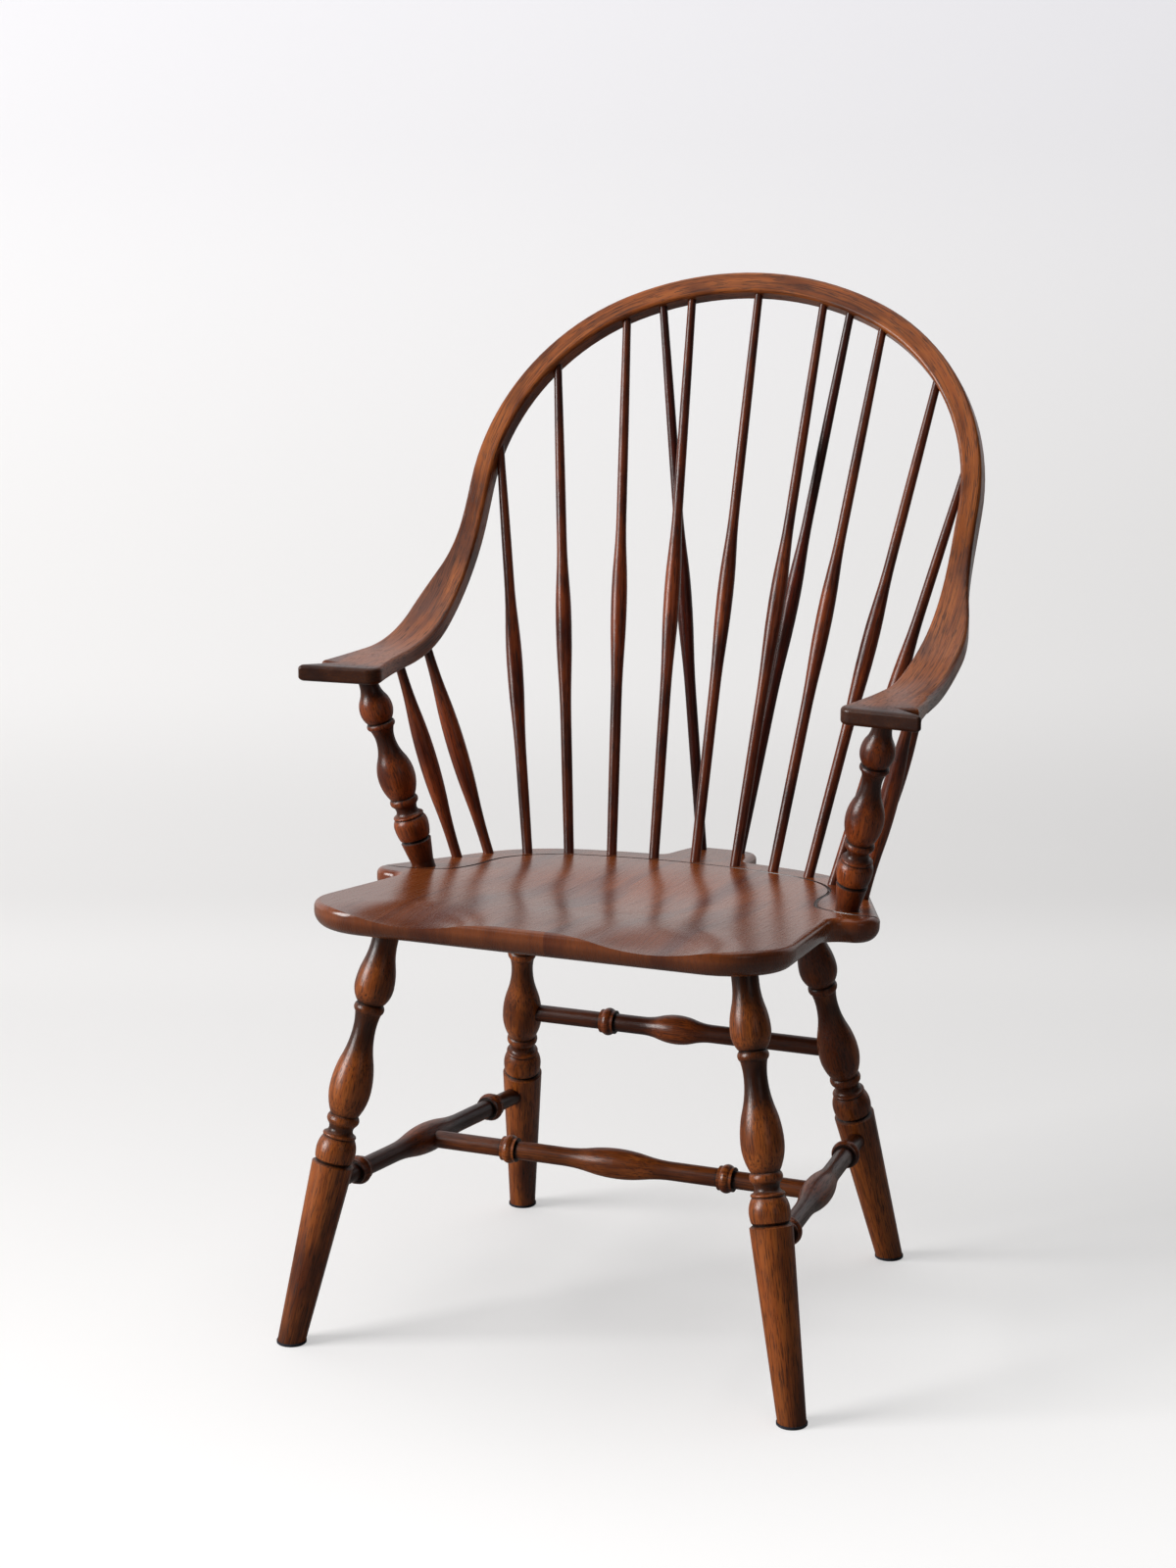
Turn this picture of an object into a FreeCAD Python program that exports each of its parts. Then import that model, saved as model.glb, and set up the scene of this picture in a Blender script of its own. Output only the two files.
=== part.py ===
import FreeCAD, Part
import Sketcher
import math
import os

# A brace-back Windsor armchair with a continuous arm. It stands on z = 0, faces -Y and is mirrored in X.
# Lengths are millimetres, angles degrees. Seat positions are measured on the tilted deck of the plank.
SIZES = {
    # fit of every turned end in its socket
    "joint_clearance": 0.15,
    "socket_floor_gap": 0.5,
    # seat plank
    "seat_height": 438.7,
    "seat_tilt": 5.0,
    "seat_thickness": 26.0,
    "seat_front": 331.0,
    "seat_front_half_width": 256.0,
    "seat_waist_half_width": 233.0,
    "seat_shoulder": 103.0,
    "seat_rear_margin": 30.0,
    "seat_side_turn": 67.5,
    "tail_length": 68.0,
    "tail_half_width": 39.0,
    "tail_root_half_width": 48.0,
    "tail_corner_radius": 24.0,
    "tail_root_radius": 10.0,
    "ear_corner_radius": 26.0,
    "shoulder_cove_radius": 16.0,
    "front_corner_radius": 72.0,
    "seat_bottom_round": 16.0,
    "seat_top_round": 6.0,
    # saddle, thigh hollows and gutter line carved in the deck
    "saddle_depth": 10.0,
    "saddle_radius": 175.0,
    "saddle_centre": 88.0,
    "thigh_depth": 10.0,
    "thigh_radius": 97.0,
    "thigh_offset": 125.0,
    "gutter_setback": 11.0,
    "gutter_width": 4.0,
    "gutter_flare": 12.4,
    "gutter_flare_length": 63.0,
    "gutter_ear_forward": 75.0,
    # curve on which the back spindles stand
    "foot_line_back": 131.5,
    "foot_line_half_width": 198.6,
    "foot_line_crown_radius": 420.0,
    "foot_line_turn": 16.6,
    "spindle_foot_spacing": 46.5,
    # bow: inside of the arch, its rake, and the bend into the arms
    "bow_crown_height": 1025.0,
    "bow_crown_back": 318.0,
    "bow_rake": 29.6,
    "bow_half_width": 265.0,
    "bow_crown_radius": 315.0,
    "bow_turn": 25.2,
    "bow_width": 23.5,
    "bow_thickness": 22.0,
    "bow_foot_half_width": 287.0,
    "bow_leg_run": 2.0,
    "bow_straight_run": 37.0,
    "bow_edge_round": 4.0,
    "arm_height": 657.5,
    "arm_thickness": 17.0,
    "arm_level_forward": 31.0,
    "arm_middle_back": 75.0,
    "arm_middle_outside": 307.0,
    "arm_middle_inside": 260.0,
    "arm_inside_bend_back": 150.0,
    "arm_inside_back": 7.0,
    "hand_shoulder_outside": 320.0,
    "hand_shoulder_forward": 110.0,
    "hand_notch_outside": 304.0,
    "hand_notch_forward": 116.0,
    "hand_outside": 338.0,
    "hand_outside_forward": 144.0,
    "hand_inside": 243.0,
    "hand_inside_forward": 135.0,
    "hand_corner_radius": 13.0,
    "hand_tip_radius": 3.0,
    # spindle tops, measured along the inside of the bow from its crown
    "bow_spindle_1": 76.0,
    "bow_spindle_2": 152.0,
    "bow_spindle_3": 244.0,
    "bow_spindle_4": 360.0,
    "bow_brace": 109.0,
    # back and brace spindles
    "spindle_foot_diameter": 11.0,
    "spindle_neck_diameter": 12.0,
    "spindle_swell_diameter": 17.5,
    "spindle_waist_diameter": 11.0,
    "spindle_top_diameter": 9.0,
    "spindle_swell_share": 0.47,
    "spindle_swell_below": 110.0,
    "spindle_swell_above": 95.0,
    "spindle_straight_end": 16.0,
    "spindle_seat_tenon": 18.0,
    "bow_tenon": 9.0,
    "brace_foot_half_spacing": 22.0,
    "brace_foot_back": 210.0,
    # short spindles under the arms
    "short_foot_diameter": 11.0,
    "short_swell_diameter": 20.0,
    "short_top_diameter": 10.0,
    "arm_tenon": 10.0,
    "short_1_foot_half_width": 227.0,
    "short_1_foot_back": 15.0,
    "short_1_top_half_width": 283.0,
    "short_1_top_forward": 7.0,
    "short_2_foot_half_width": 209.0,
    "short_2_foot_back": 57.0,
    "short_2_top_half_width": 280.0,
    "short_2_top_back": 52.0,
    # arm posts, from the seat up
    "post_foot_half_width": 233.0,
    "post_foot_forward": 55.0,
    "post_top_half_width": 279.0,
    "post_top_forward": 91.0,
    "post_seat_tenon": 18.0,
    "post_foot_diameter": 24.0,
    "post_foot_rise": 6.0,
    "post_cone_rise": 23.0,
    "post_cone_diameter": 32.0,
    "post_groove_width": 4.0,
    "post_groove_diameter": 27.0,
    "post_ball_rise": 14.5,
    "post_ball_diameter": 36.5,
    "post_ball_fall": 8.5,
    "post_rim_diameter": 30.0,
    "post_ring_width": 3.0,
    "post_ring_diameter": 32.0,
    "post_cove_width": 11.0,
    "post_cove_diameter": 22.0,
    "post_bead_rim_diameter": 26.0,
    "post_bead_width": 8.0,
    "post_bead_diameter": 30.0,
    "post_vase_rise": 24.0,
    "post_vase_diameter": 39.0,
    "post_neck_rise": 41.0,
    "post_neck_diameter": 20.0,
    "post_collar_rise": 13.0,
    "post_collar_diameter": 25.5,
    "post_collar_bead_width": 7.0,
    "post_collar_bead_diameter": 30.0,
    "post_egg_rise": 14.0,
    "post_egg_diameter": 35.0,
    "post_top_rise": 27.0,
    "post_top_straight": 9.6,
    "post_top_diameter": 20.0,
    # legs: where they stand and enter the seat, and the turning from the floor up
    "front_foot_half_width": 269.0,
    "front_foot_forward": 304.6,
    "front_leg_half_width": 187.5,
    "front_leg_forward": 229.6,
    "rear_foot_half_width": 217.0,
    "rear_foot_back": 161.3,
    "rear_leg_half_width": 158.6,
    "rear_leg_back": 33.7,
    "leg_foot_allowance": 14.0,
    "leg_seat_tenon": 18.0,
    "leg_foot_diameter": 27.0,
    "leg_taper_rise": 191.0,
    "leg_taper_diameter": 42.5,
    "leg_groove_width": 5.0,
    "leg_groove_diameter": 35.0,
    "leg_ball_foot_diameter": 38.5,
    "leg_ball_rise": 9.0,
    "leg_ball_diameter": 40.5,
    "leg_ball_fall": 15.0,
    "leg_rim_diameter": 31.5,
    "leg_ring_width": 3.5,
    "leg_ring_diameter": 34.0,
    "leg_cove_width": 10.0,
    "leg_cove_diameter": 24.5,
    "leg_bead_rim_diameter": 28.5,
    "leg_bead_width": 10.0,
    "leg_bead_diameter": 33.0,
    "leg_vase_rise": 28.0,
    "leg_vase_diameter": 42.5,
    "leg_neck_rise": 63.0,
    "leg_neck_diameter": 23.0,
    "leg_collar_rise": 16.0,
    "leg_collar_diameter": 26.5,
    "leg_collar_bead_width": 10.0,
    "leg_collar_bead_diameter": 31.0,
    "leg_upper_vase_rise": 18.5,
    "leg_upper_vase_diameter": 40.0,
    "leg_top_rise": 46.0,
    "leg_top_straight": 21.7,
    "leg_top_diameter": 26.5,
    # glides under the feet
    "glide_thickness": 3.0,
    "glide_diameter": 30.5,
    "glide_chamfer": 0.8,
    # stretchers: heights are measured along the legs from the floor, beads from the axes they join
    "side_stretcher_front_height": 169.0,
    "side_stretcher_rear_height": 158.0,
    "rear_stretcher_height": 268.0,
    "side_stretcher_front_bead": 57.0,
    "side_stretcher_rear_bead": 70.0,
    "medial_stretcher_bead": 97.0,
    "rear_stretcher_bead": 102.0,
    "stretcher_end_diameter": 18.5,
    "stretcher_bead_diameter": 30.0,
    "stretcher_bead_width": 10.0,
    "stretcher_ring_diameter": 25.5,
    "stretcher_ring_width": 3.0,
    "stretcher_shaft_diameter": 19.5,
    "stretcher_bulge_diameter": 31.5,
    "stretcher_tenon": 6.0,
    "medial_tenon": 3.0,
}

doc = FreeCAD.newDocument("brace_back_windsor_chair")
sheet = doc.addObject("Spreadsheet::Sheet", "sizes")
sheet_rows = []


def add_cells(cells):
    """Write each named value or formula in the next free row of the sheet."""
    for alias, text in cells.items():
        sheet_rows.append(alias)
        row = len(sheet_rows)
        sheet.set(f"A{row}", alias)
        sheet.set(f"B{row}", str(text))
        sheet.setAlias(f"B{row}", alias)


def size(alias):
    """The present value of a named cell."""
    cell = sheet.get(alias)
    return float(getattr(cell, "Value", cell))


def vector(x, y, z):
    return FreeCAD.Vector(x, y, z)


add_cells(SIZES)
doc.recompute()

# Curves made of a flat crown arc and two rounder side arcs, which meet where the curve has turned so far.
add_cells({"bow_outer_crown_radius": "=bow_crown_radius + bow_width"})
for curve, half_width, turn in (
    ("foot_line", "foot_line_half_width", "foot_line_turn"),
    ("bow", "bow_half_width", "bow_turn"),
    ("bow_outer", "bow_foot_half_width", "bow_turn"),
):
    crown = f"{curve}_crown_radius"
    add_cells({
        f"{curve}_side_radius": f"=({half_width} - {crown} * sin({turn})) / (1 - sin({turn}))",
        f"{curve}_rise": f"={crown} - ({crown} - {curve}_side_radius) * cos({turn})",
    })

add_cells({
    "foot_line_crown_centre": "=foot_line_back - foot_line_crown_radius",
    "foot_line_side_centre_x": "=foot_line_half_width - foot_line_side_radius",
    "foot_line_side_centre_y": "=foot_line_back - foot_line_rise",
    "seat_crown_radius": "=foot_line_crown_radius + seat_rear_margin",
    "seat_corner_radius": "=foot_line_side_radius + seat_rear_margin",
    "saddle_ogee_radius": "=(saddle_radius ^ 2 + saddle_depth ^ 2) / (4 * saddle_depth)",
    "thigh_ogee_radius": "=(thigh_radius ^ 2 + thigh_depth ^ 2) / (4 * thigh_depth)",
    "arm_top": "=arm_height + arm_thickness / 2",
    "arm_bottom": "=arm_height - arm_thickness / 2",
    "bow_half_back": "=bow_thickness / 2 * cos(bow_rake)",
    "bow_half_height": "=bow_thickness / 2 * sin(bow_rake)",
    "bow_spring": "=-bow_width / 2 - bow_rise",
    "bow_outer_spring": "=bow_width / 2 - bow_outer_rise",
    "bow_leg_end": "=min(bow_spring; bow_outer_spring) - bow_leg_run",
    "bow_leg_back": "=bow_crown_back + bow_leg_end * sin(bow_rake)",
    "bow_leg_height": "=bow_crown_height + bow_leg_end * cos(bow_rake)",
    "bow_leg_drop": "=bow_leg_height + bow_half_height - arm_top",
    "bow_front_fall": "=bow_crown_height + bow_half_height - arm_top",
    "bow_front_corner": "=bow_crown_back - bow_front_fall * tan(bow_rake) - bow_half_back",
    "bow_leg_room": "=bow_leg_drop / cos(bow_rake) - bow_straight_run",
    "bow_arm_room": "=bow_front_corner + arm_level_forward",
    "bow_upper_tangent": "=min(bow_leg_room; bow_arm_room)",
    "bow_bend_radius": "=bow_upper_tangent / tan((90 - bow_rake) / 2)",
    "bow_lower_bend_radius": "=bow_bend_radius + (bow_thickness + arm_thickness) / 2",
    "bow_lower_tangent": "=bow_lower_bend_radius * tan((90 - bow_rake) / 2)",
    "bow_rear_fall": "=bow_crown_height - bow_half_height - arm_bottom",
    "bow_rear_corner": "=bow_crown_back - bow_rear_fall * tan(bow_rake) + bow_half_back",
})
doc.recompute()


def outline(name, vertices):
    """Put the corner positions of a closed outline in the sheet, as formulas."""
    corners = []
    for index, (x, y, kind, radius) in enumerate(vertices):
        names = []
        for axis, formula in (("x", x), ("y", y)):
            alias = f"{name}_{axis}_{index}"
            if formula is None:
                names.append(None)
            else:
                add_cells({alias: f"={formula}"})
                names.append(alias)
        corners.append((names[0], names[1], kind, radius))
    return corners


def turning(name, rows):
    """Half profile of a turned piece, from its lower end up.

    Each row is the rise above the row before it (or a height after 'at '), the diameter, and how the tool
    leaves it: 'edge' is a crisp corner, 'round' is the smooth belly or waist of a curve.
    """
    vertices = [(None, None, "edge", None)]
    height = None
    for index, (rise, diameter, kind) in enumerate(rows, start=1):
        if rise is None:
            height = None
        elif rise.startswith("at "):
            height = rise[3:]
        else:
            height = rise if height is None else f"{name}_y_{index - 1} + {rise}"
        vertices.append((f"{diameter} / 2", height, kind, None))
    vertices.append((None, f"{name}_y_{len(rows)}", "edge", None))
    return outline(name, vertices)


def sketch_arc(centre, start, end):
    """The shorter arc between two points, and which sketch point number each of them has."""
    radius = math.hypot(start[0] - centre[0], start[1] - centre[1])
    circle = Part.Circle(vector(centre[0], centre[1], 0), vector(0, 0, 1), radius)
    first = math.atan2(start[1] - centre[1], start[0] - centre[0])
    last = math.atan2(end[1] - centre[1], end[0] - centre[0])
    sweep = (last - first) % (2 * math.pi)
    if sweep <= math.pi:
        return Part.ArcOfCircle(circle, first, first + sweep), 1, 2
    return Part.ArcOfCircle(circle, last, last + 2 * math.pi - sweep), 2, 1


def round_centre(belly, other):
    """Centre of the arc that is upright at the belly point and ends at the other point."""
    run = belly[0] - other[0]
    rise = belly[1] - other[1]
    return belly[0] - (run * run + rise * rise) / (2 * run), belly[1]


def radius_centre(start, end, radius):
    """Centre of an arc of this radius: a positive radius turns left, a negative one turns right."""
    half = math.hypot(end[0] - start[0], end[1] - start[1]) / 2
    depth = math.sqrt(max(radius * radius - half * half, 0.0)) * math.copysign(1.0, radius)
    across = (-(end[1] - start[1]) / (2 * half), (end[0] - start[0]) / (2 * half))
    return (start[0] + end[0]) / 2 + across[0] * depth, (start[1] + end[1]) / 2 + across[1] * depth


def draw(sketch, corners):
    """Draw a closed outline of lines and arcs and tie its corners and radii to the sheet."""
    points = []
    for x, y, kind, radius in corners:
        points.append((size(x) if x else 0.0, size(y) if y else 0.0))
    shapes = []
    ends = []
    ties = []
    for index, corner in enumerate(corners):
        after = (index + 1) % len(corners)
        start = points[index]
        end = points[after]
        rounds = (corner[2] == "round", corners[after][2] == "round")
        level = abs(start[0] - end[0]) < 1e-6
        number = len(shapes)
        if corner[3]:
            sign = -1.0 if corner[3].startswith("-") else 1.0
            alias = corner[3].lstrip("-")
            arc, first, last = sketch_arc(radius_centre(start, end, sign * size(alias)), start, end)
            shapes.append(arc)
            ends.append((number, first, last, index))
            ties.append((Sketcher.Constraint("Radius", number, size(alias)), alias, 1))
        elif level or rounds == (False, False):
            shapes.append(Part.LineSegment(vector(*start, 0), vector(*end, 0)))
            ends.append((number, 1, 2, index))
        elif rounds == (True, True):
            middle = ((start[0] + end[0]) / 2, (start[1] + end[1]) / 2)
            lower, first, lower_end = sketch_arc(round_centre(start, middle), start, middle)
            upper, upper_start, last = sketch_arc(round_centre(end, middle), middle, end)
            shapes.extend([lower, upper])
            ends.append((number, first, lower_end, index))
            ends.append((number + 1, upper_start, last, None))
            ties.append((Sketcher.Constraint("Horizontal", number, 3, number, first), None, 1))
            ties.append((Sketcher.Constraint("Horizontal", number + 1, 3, number + 1, last), None, 1))
            ties.append((Sketcher.Constraint("Equal", number, number + 1), None, 1))
        else:
            belly, other = (start, end) if rounds[0] else (end, start)
            arc, first, last = sketch_arc(round_centre(belly, other), start, end)
            shapes.append(arc)
            ends.append((number, first, last, index))
            upright = first if rounds[0] else last
            ties.append((Sketcher.Constraint("Horizontal", number, 3, number, upright), None, 1))
    for place, (number, first, last, index) in enumerate(ends):
        following = ends[(place + 1) % len(ends)]
        joint = "Tangent" if following[3] is None else "Coincident"
        ties.append((Sketcher.Constraint(joint, number, last, following[0], following[1]), None, 1))
        if index is None:
            continue
        for alias, way, axis, value in (
            (corners[index][0], "DistanceX", -2, points[index][0]),
            (corners[index][1], "DistanceY", -1, points[index][1]),
        ):
            if alias is None:
                ties.append((Sketcher.Constraint("PointOnObject", number, first, axis), None, 1))
            elif value >= 0:
                ties.append((Sketcher.Constraint(way, -1, 1, number, first, value), alias, 1))
            else:
                ties.append((Sketcher.Constraint(way, number, first, -1, 1, -value), alias, -1))
    sketch.addGeometry(shapes, False)
    sketch.addConstraint([tie[0] for tie in ties])
    for number, (constraint, alias, sign) in enumerate(ties):
        if alias:
            formula = f"sizes.{alias}" if sign > 0 else f"-sizes.{alias}"
            sketch.setExpression(f"Constraints[{number}]", formula)


def add_sketch(body, plane, name, corners):
    sketch = body.newObject("Sketcher::SketchObject", name)
    for datum in body.Origin.OriginFeatures:
        if datum.Role == plane:
            sketch.AttachmentSupport = (datum, [""])
    sketch.MapMode = "FlatFace"
    draw(sketch, corners)
    return sketch


def turned_body(name, corners, start, direction):
    """Revolve a half profile and stand it on its start point along its axis."""
    body = doc.addObject("PartDesign::Body", f"{name}_turning")
    sketch = add_sketch(body, "XZ_Plane", f"{name}_profile", corners)
    revolution = body.newObject("PartDesign::Revolution", f"{name}_revolution")
    revolution.Profile = sketch
    revolution.ReferenceAxis = (sketch, ["V_Axis"])
    revolution.Angle = 360.0
    sketch.Visibility = False
    body.Placement = FreeCAD.Placement(start, FreeCAD.Rotation(vector(0, 0, 1), direction))
    return body


def socket(name, mouth, direction, before, depth, diameter):
    """A drill that leaves room for a turned end: it starts before the mouth and stops below the tenon."""
    drill = doc.addObject("Part::Cylinder", name)
    drill.setExpression("Radius", f"sizes.{diameter} / 2 + sizes.joint_clearance")
    drill.Height = before + depth + size("socket_floor_gap")
    drill.Placement = FreeCAD.Placement(
        mouth - direction * before, FreeCAD.Rotation(vector(0, 0, 1), direction)
    )
    return drill


def cut(label, base, tools):
    """Take every tool away from a piece and give the result its name."""
    tool = tools[0]
    if len(tools) > 1:
        tool = doc.addObject("Part::MultiFuse", f"{label}_cutters")
        tool.Shapes = tools
    piece = doc.addObject("Part::Cut", label)
    piece.Base = base
    piece.Tool = tool
    piece.Label = label
    return piece


def unit(start, end):
    way = end.sub(start)
    way.normalize()
    return way


def along_curve(curve, distance):
    """Point of a crown-and-sides curve at a length from its crown, as x, fall and turn from upright."""
    crown = size(f"{curve}_crown_radius")
    side = size(f"{curve}_side_radius")
    turn = math.radians(size(f"{curve}_turn"))
    quarter = crown * turn + side * (math.pi / 2 - turn)
    if distance <= crown * turn:
        angle = distance / crown
        return crown * math.sin(angle), crown * (1 - math.cos(angle)), angle
    if distance <= quarter:
        angle = turn + (distance - crown * turn) / side
        centre = size(f"{curve}_half_width") - side
        return centre + side * math.sin(angle), size(f"{curve}_rise") - side * math.cos(angle), angle
    return size(f"{curve}_half_width"), size(f"{curve}_rise") + distance - quarter, math.pi / 2


tilt = math.radians(size("seat_tilt"))
seat_normal = vector(0, math.sin(tilt), math.cos(tilt))
seat_placement = FreeCAD.Placement(
    vector(0, 0, size("seat_height")), FreeCAD.Rotation(vector(1, 0, 0), -size("seat_tilt"))
)


def on_seat(x, back, depth=0.0):
    """A point of the seat, measured across, back and down from the deck."""
    return seat_placement.multVec(vector(x, back, -depth))


rake = math.radians(size("bow_rake"))
bow_up = vector(0, math.sin(rake), math.cos(rake))
bow_crown = vector(0, size("bow_crown_back"), size("bow_crown_height"))


def on_bow(side, distance):
    """A point on the inside of the bow in mid thickness, and the way outward through the wood."""
    x, fall, angle = along_curve("bow", distance)
    point = bow_crown + vector(side * x, 0, 0) - bow_up * (fall + size("bow_width") / 2)
    outward = vector(side * math.sin(angle), 0, 0) + bow_up * math.cos(angle)
    return point, outward


def arm_underside(x, back):
    """The point under the arm at a place in plan, on the flat or on the bend."""
    bend_start = size("bow_rear_corner") - size("bow_lower_tangent")
    radius = size("bow_lower_bend_radius")
    run = max(back - bend_start, 0.0)
    rise = radius - math.sqrt(radius * radius - run * run)
    return vector(x, back, size("arm_bottom") + rise)


# Places of the joints. Each turned piece runs from a lower to an upper point along a straight axis.
sides = (("right", 1), ("left", -1))
spindle_axes = {}
for name, side in sides:
    for number in range(1, 5):
        x, fall, angle = along_curve("foot_line", number * size("spindle_foot_spacing"))
        foot = on_seat(side * x, size("foot_line_back") - fall)
        spindle_axes[f"back_spindle_{name}_{number}"] = (foot, *on_bow(side, size(f"bow_spindle_{number}")))
    foot = on_seat(side * size("brace_foot_half_spacing"), size("brace_foot_back"))
    spindle_axes[f"brace_spindle_{name}"] = (foot, *on_bow(side, size("bow_brace")))
spindle_axes["back_spindle_centre"] = (on_seat(0, size("foot_line_back")), *on_bow(1, 0.0))

arm_axes = {}
for name, side in sides:
    arm_axes[f"arm_post_{name}"] = (
        on_seat(side * size("post_foot_half_width"), -size("post_foot_forward")),
        arm_underside(side * size("post_top_half_width"), -size("post_top_forward")),
    )
    arm_axes[f"short_spindle_{name}_front"] = (
        on_seat(side * size("short_1_foot_half_width"), size("short_1_foot_back")),
        arm_underside(side * size("short_1_top_half_width"), -size("short_1_top_forward")),
    )
    arm_axes[f"short_spindle_{name}_rear"] = (
        on_seat(side * size("short_2_foot_half_width"), size("short_2_foot_back")),
        arm_underside(side * size("short_2_top_half_width"), size("short_2_top_back")),
    )

leg_axes = {}
for name, side in sides:
    leg_axes[f"leg_front_{name}"] = (
        vector(side * size("front_foot_half_width"), -size("front_foot_forward"), 0),
        on_seat(side * size("front_leg_half_width"), -size("front_leg_forward"), size("seat_thickness")),
    )
    leg_axes[f"leg_rear_{name}"] = (
        vector(side * size("rear_foot_half_width"), size("rear_foot_back"), 0),
        on_seat(side * size("rear_leg_half_width"), size("rear_leg_back"), size("seat_thickness")),
    )


def up_leg(leg, height):
    foot, top = leg_axes[leg]
    return foot + unit(foot, top) * height


stretcher_axes = {}
for name, side in sides:
    stretcher_axes[f"stretcher_side_{name}"] = (
        up_leg(f"leg_front_{name}", size("side_stretcher_front_height")),
        up_leg(f"leg_rear_{name}", size("side_stretcher_rear_height")),
    )
stretcher_axes["stretcher_rear"] = (
    up_leg("leg_rear_left", size("rear_stretcher_height")),
    up_leg("leg_rear_right", size("rear_stretcher_height")),
)


def between_beads(stretcher):
    """The fattest place of a side stretcher, midway between its beads."""
    front, rear = stretcher_axes[stretcher]
    length = front.distanceToPoint(rear)
    middle = (length + size("side_stretcher_front_bead") - size("side_stretcher_rear_bead")) / 2
    return front + unit(front, rear) * middle


stretcher_axes["stretcher_medial"] = (
    between_beads("stretcher_side_left"),
    between_beads("stretcher_side_right"),
)

# Lengths that follow from the places of the joints.
lengths = {}
tenons = {}
for piece, (foot, top, outward) in spindle_axes.items():
    way = unit(foot, top)
    lower = size("spindle_seat_tenon") / way.dot(seat_normal)
    upper = size("bow_tenon") / way.dot(outward)
    tenons[piece] = (lower, upper)
    lengths[f"{piece}_length"] = lower + foot.distanceToPoint(top) + upper
    lengths[f"{piece}_foot"] = lower
    lengths[f"{piece}_span"] = foot.distanceToPoint(top)
for piece, (foot, top) in arm_axes.items():
    way = unit(foot, top)
    depth = "post_seat_tenon" if piece.startswith("arm_post") else "spindle_seat_tenon"
    lower = size(depth) / way.dot(seat_normal)
    upper = size("arm_tenon") / way.z
    tenons[piece] = (lower, upper)
    lengths[f"{piece}_length"] = lower + foot.distanceToPoint(top) + upper
    lengths[f"{piece}_foot"] = lower
    lengths[f"{piece}_span"] = foot.distanceToPoint(top)
for piece, (foot, top) in leg_axes.items():
    upper = size("leg_seat_tenon") / unit(foot, top).dot(seat_normal)
    tenons[piece] = (size("leg_foot_allowance"), upper)
    lengths[f"{piece}_length"] = size("leg_foot_allowance") + foot.distanceToPoint(top) + upper
    lengths[f"{piece}_foot"] = size("leg_foot_allowance")
    lengths[f"{piece}_span"] = foot.distanceToPoint(top)
for piece, (start, end) in stretcher_axes.items():
    past = size("medial_tenon") if piece == "stretcher_medial" else size("stretcher_tenon")
    tenons[piece] = (past, past)
    lengths[f"{piece}_length"] = start.distanceToPoint(end) + 2 * past
add_cells(lengths)


# Turned profiles.
def spindle_rows(piece):
    swell = f"{piece}_foot + {piece}_span * spindle_swell_share"
    end = f"{piece}_length - ({piece}_length - {piece}_foot - {piece}_span) - spindle_straight_end"
    return [
        (None, "spindle_foot_diameter", "edge"),
        (f"at {piece}_foot + spindle_straight_end", "spindle_foot_diameter", "edge"),
        (f"at {swell} - spindle_swell_below", "spindle_neck_diameter", "round"),
        (f"at {swell}", "spindle_swell_diameter", "round"),
        (f"at {swell} + spindle_swell_above", "spindle_waist_diameter", "round"),
        (f"at {end}", "spindle_top_diameter", "edge"),
        (f"at {piece}_length", "spindle_top_diameter", "edge"),
    ]


def short_spindle_rows(piece):
    return [
        (None, "short_foot_diameter", "edge"),
        (f"at {piece}_foot + spindle_straight_end / 2", "short_foot_diameter", "round"),
        (f"at {piece}_foot + {piece}_span / 2", "short_swell_diameter", "round"),
        (f"at {piece}_foot + {piece}_span - spindle_straight_end / 2", "short_top_diameter", "round"),
        (f"at {piece}_length", "short_top_diameter", "edge"),
    ]


def bead_rows(name, rim):
    """A half-round bead that springs from a rim and dies into the same rim above."""
    return [
        (f"{name}_width / 2", f"{name}_diameter", "round"),
        (f"{name}_width / 2", rim, "edge"),
    ]


# The patterns of the posts and legs, from the lower joint up to the straight neck below the upper one.
post_pattern = [
    ("post_foot_rise", "post_foot_diameter", "edge"),
    ("post_cone_rise", "post_cone_diameter", "edge"),
    ("post_groove_width / 2", "post_groove_diameter", "edge"),
    ("post_groove_width / 2", "post_cone_diameter", "edge"),
    ("post_ball_rise", "post_ball_diameter", "round"),
    ("post_ball_fall", "post_rim_diameter", "edge"),
    *bead_rows("post_ring", "post_rim_diameter"),
    ("post_cove_width / 2", "post_cove_diameter", "round"),
    ("post_cove_width / 2", "post_bead_rim_diameter", "edge"),
    *bead_rows("post_bead", "post_bead_rim_diameter"),
    ("post_vase_rise", "post_vase_diameter", "round"),
    ("post_neck_rise", "post_neck_diameter", "round"),
    ("post_collar_rise", "post_collar_diameter", "edge"),
    *bead_rows("post_collar_bead", "post_collar_diameter"),
    ("post_egg_rise", "post_egg_diameter", "round"),
    ("post_top_rise", "post_top_diameter", "round"),
]
leg_pattern = [
    ("leg_taper_rise", "leg_taper_diameter", "edge"),
    ("leg_groove_width / 2", "leg_groove_diameter", "edge"),
    ("leg_groove_width / 2", "leg_ball_foot_diameter", "edge"),
    ("leg_ball_rise", "leg_ball_diameter", "round"),
    ("leg_ball_fall", "leg_rim_diameter", "edge"),
    *bead_rows("leg_ring", "leg_rim_diameter"),
    ("leg_cove_width / 2", "leg_cove_diameter", "round"),
    ("leg_cove_width / 2", "leg_bead_rim_diameter", "edge"),
    *bead_rows("leg_bead", "leg_bead_rim_diameter"),
    ("leg_vase_rise", "leg_vase_diameter", "round"),
    ("leg_neck_rise", "leg_neck_diameter", "round"),
    ("leg_collar_rise", "leg_collar_diameter", "edge"),
    *bead_rows("leg_collar_bead", "leg_collar_diameter"),
    ("leg_upper_vase_rise", "leg_upper_vase_diameter", "round"),
    ("leg_top_rise", "leg_top_diameter", "round"),
]
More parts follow.
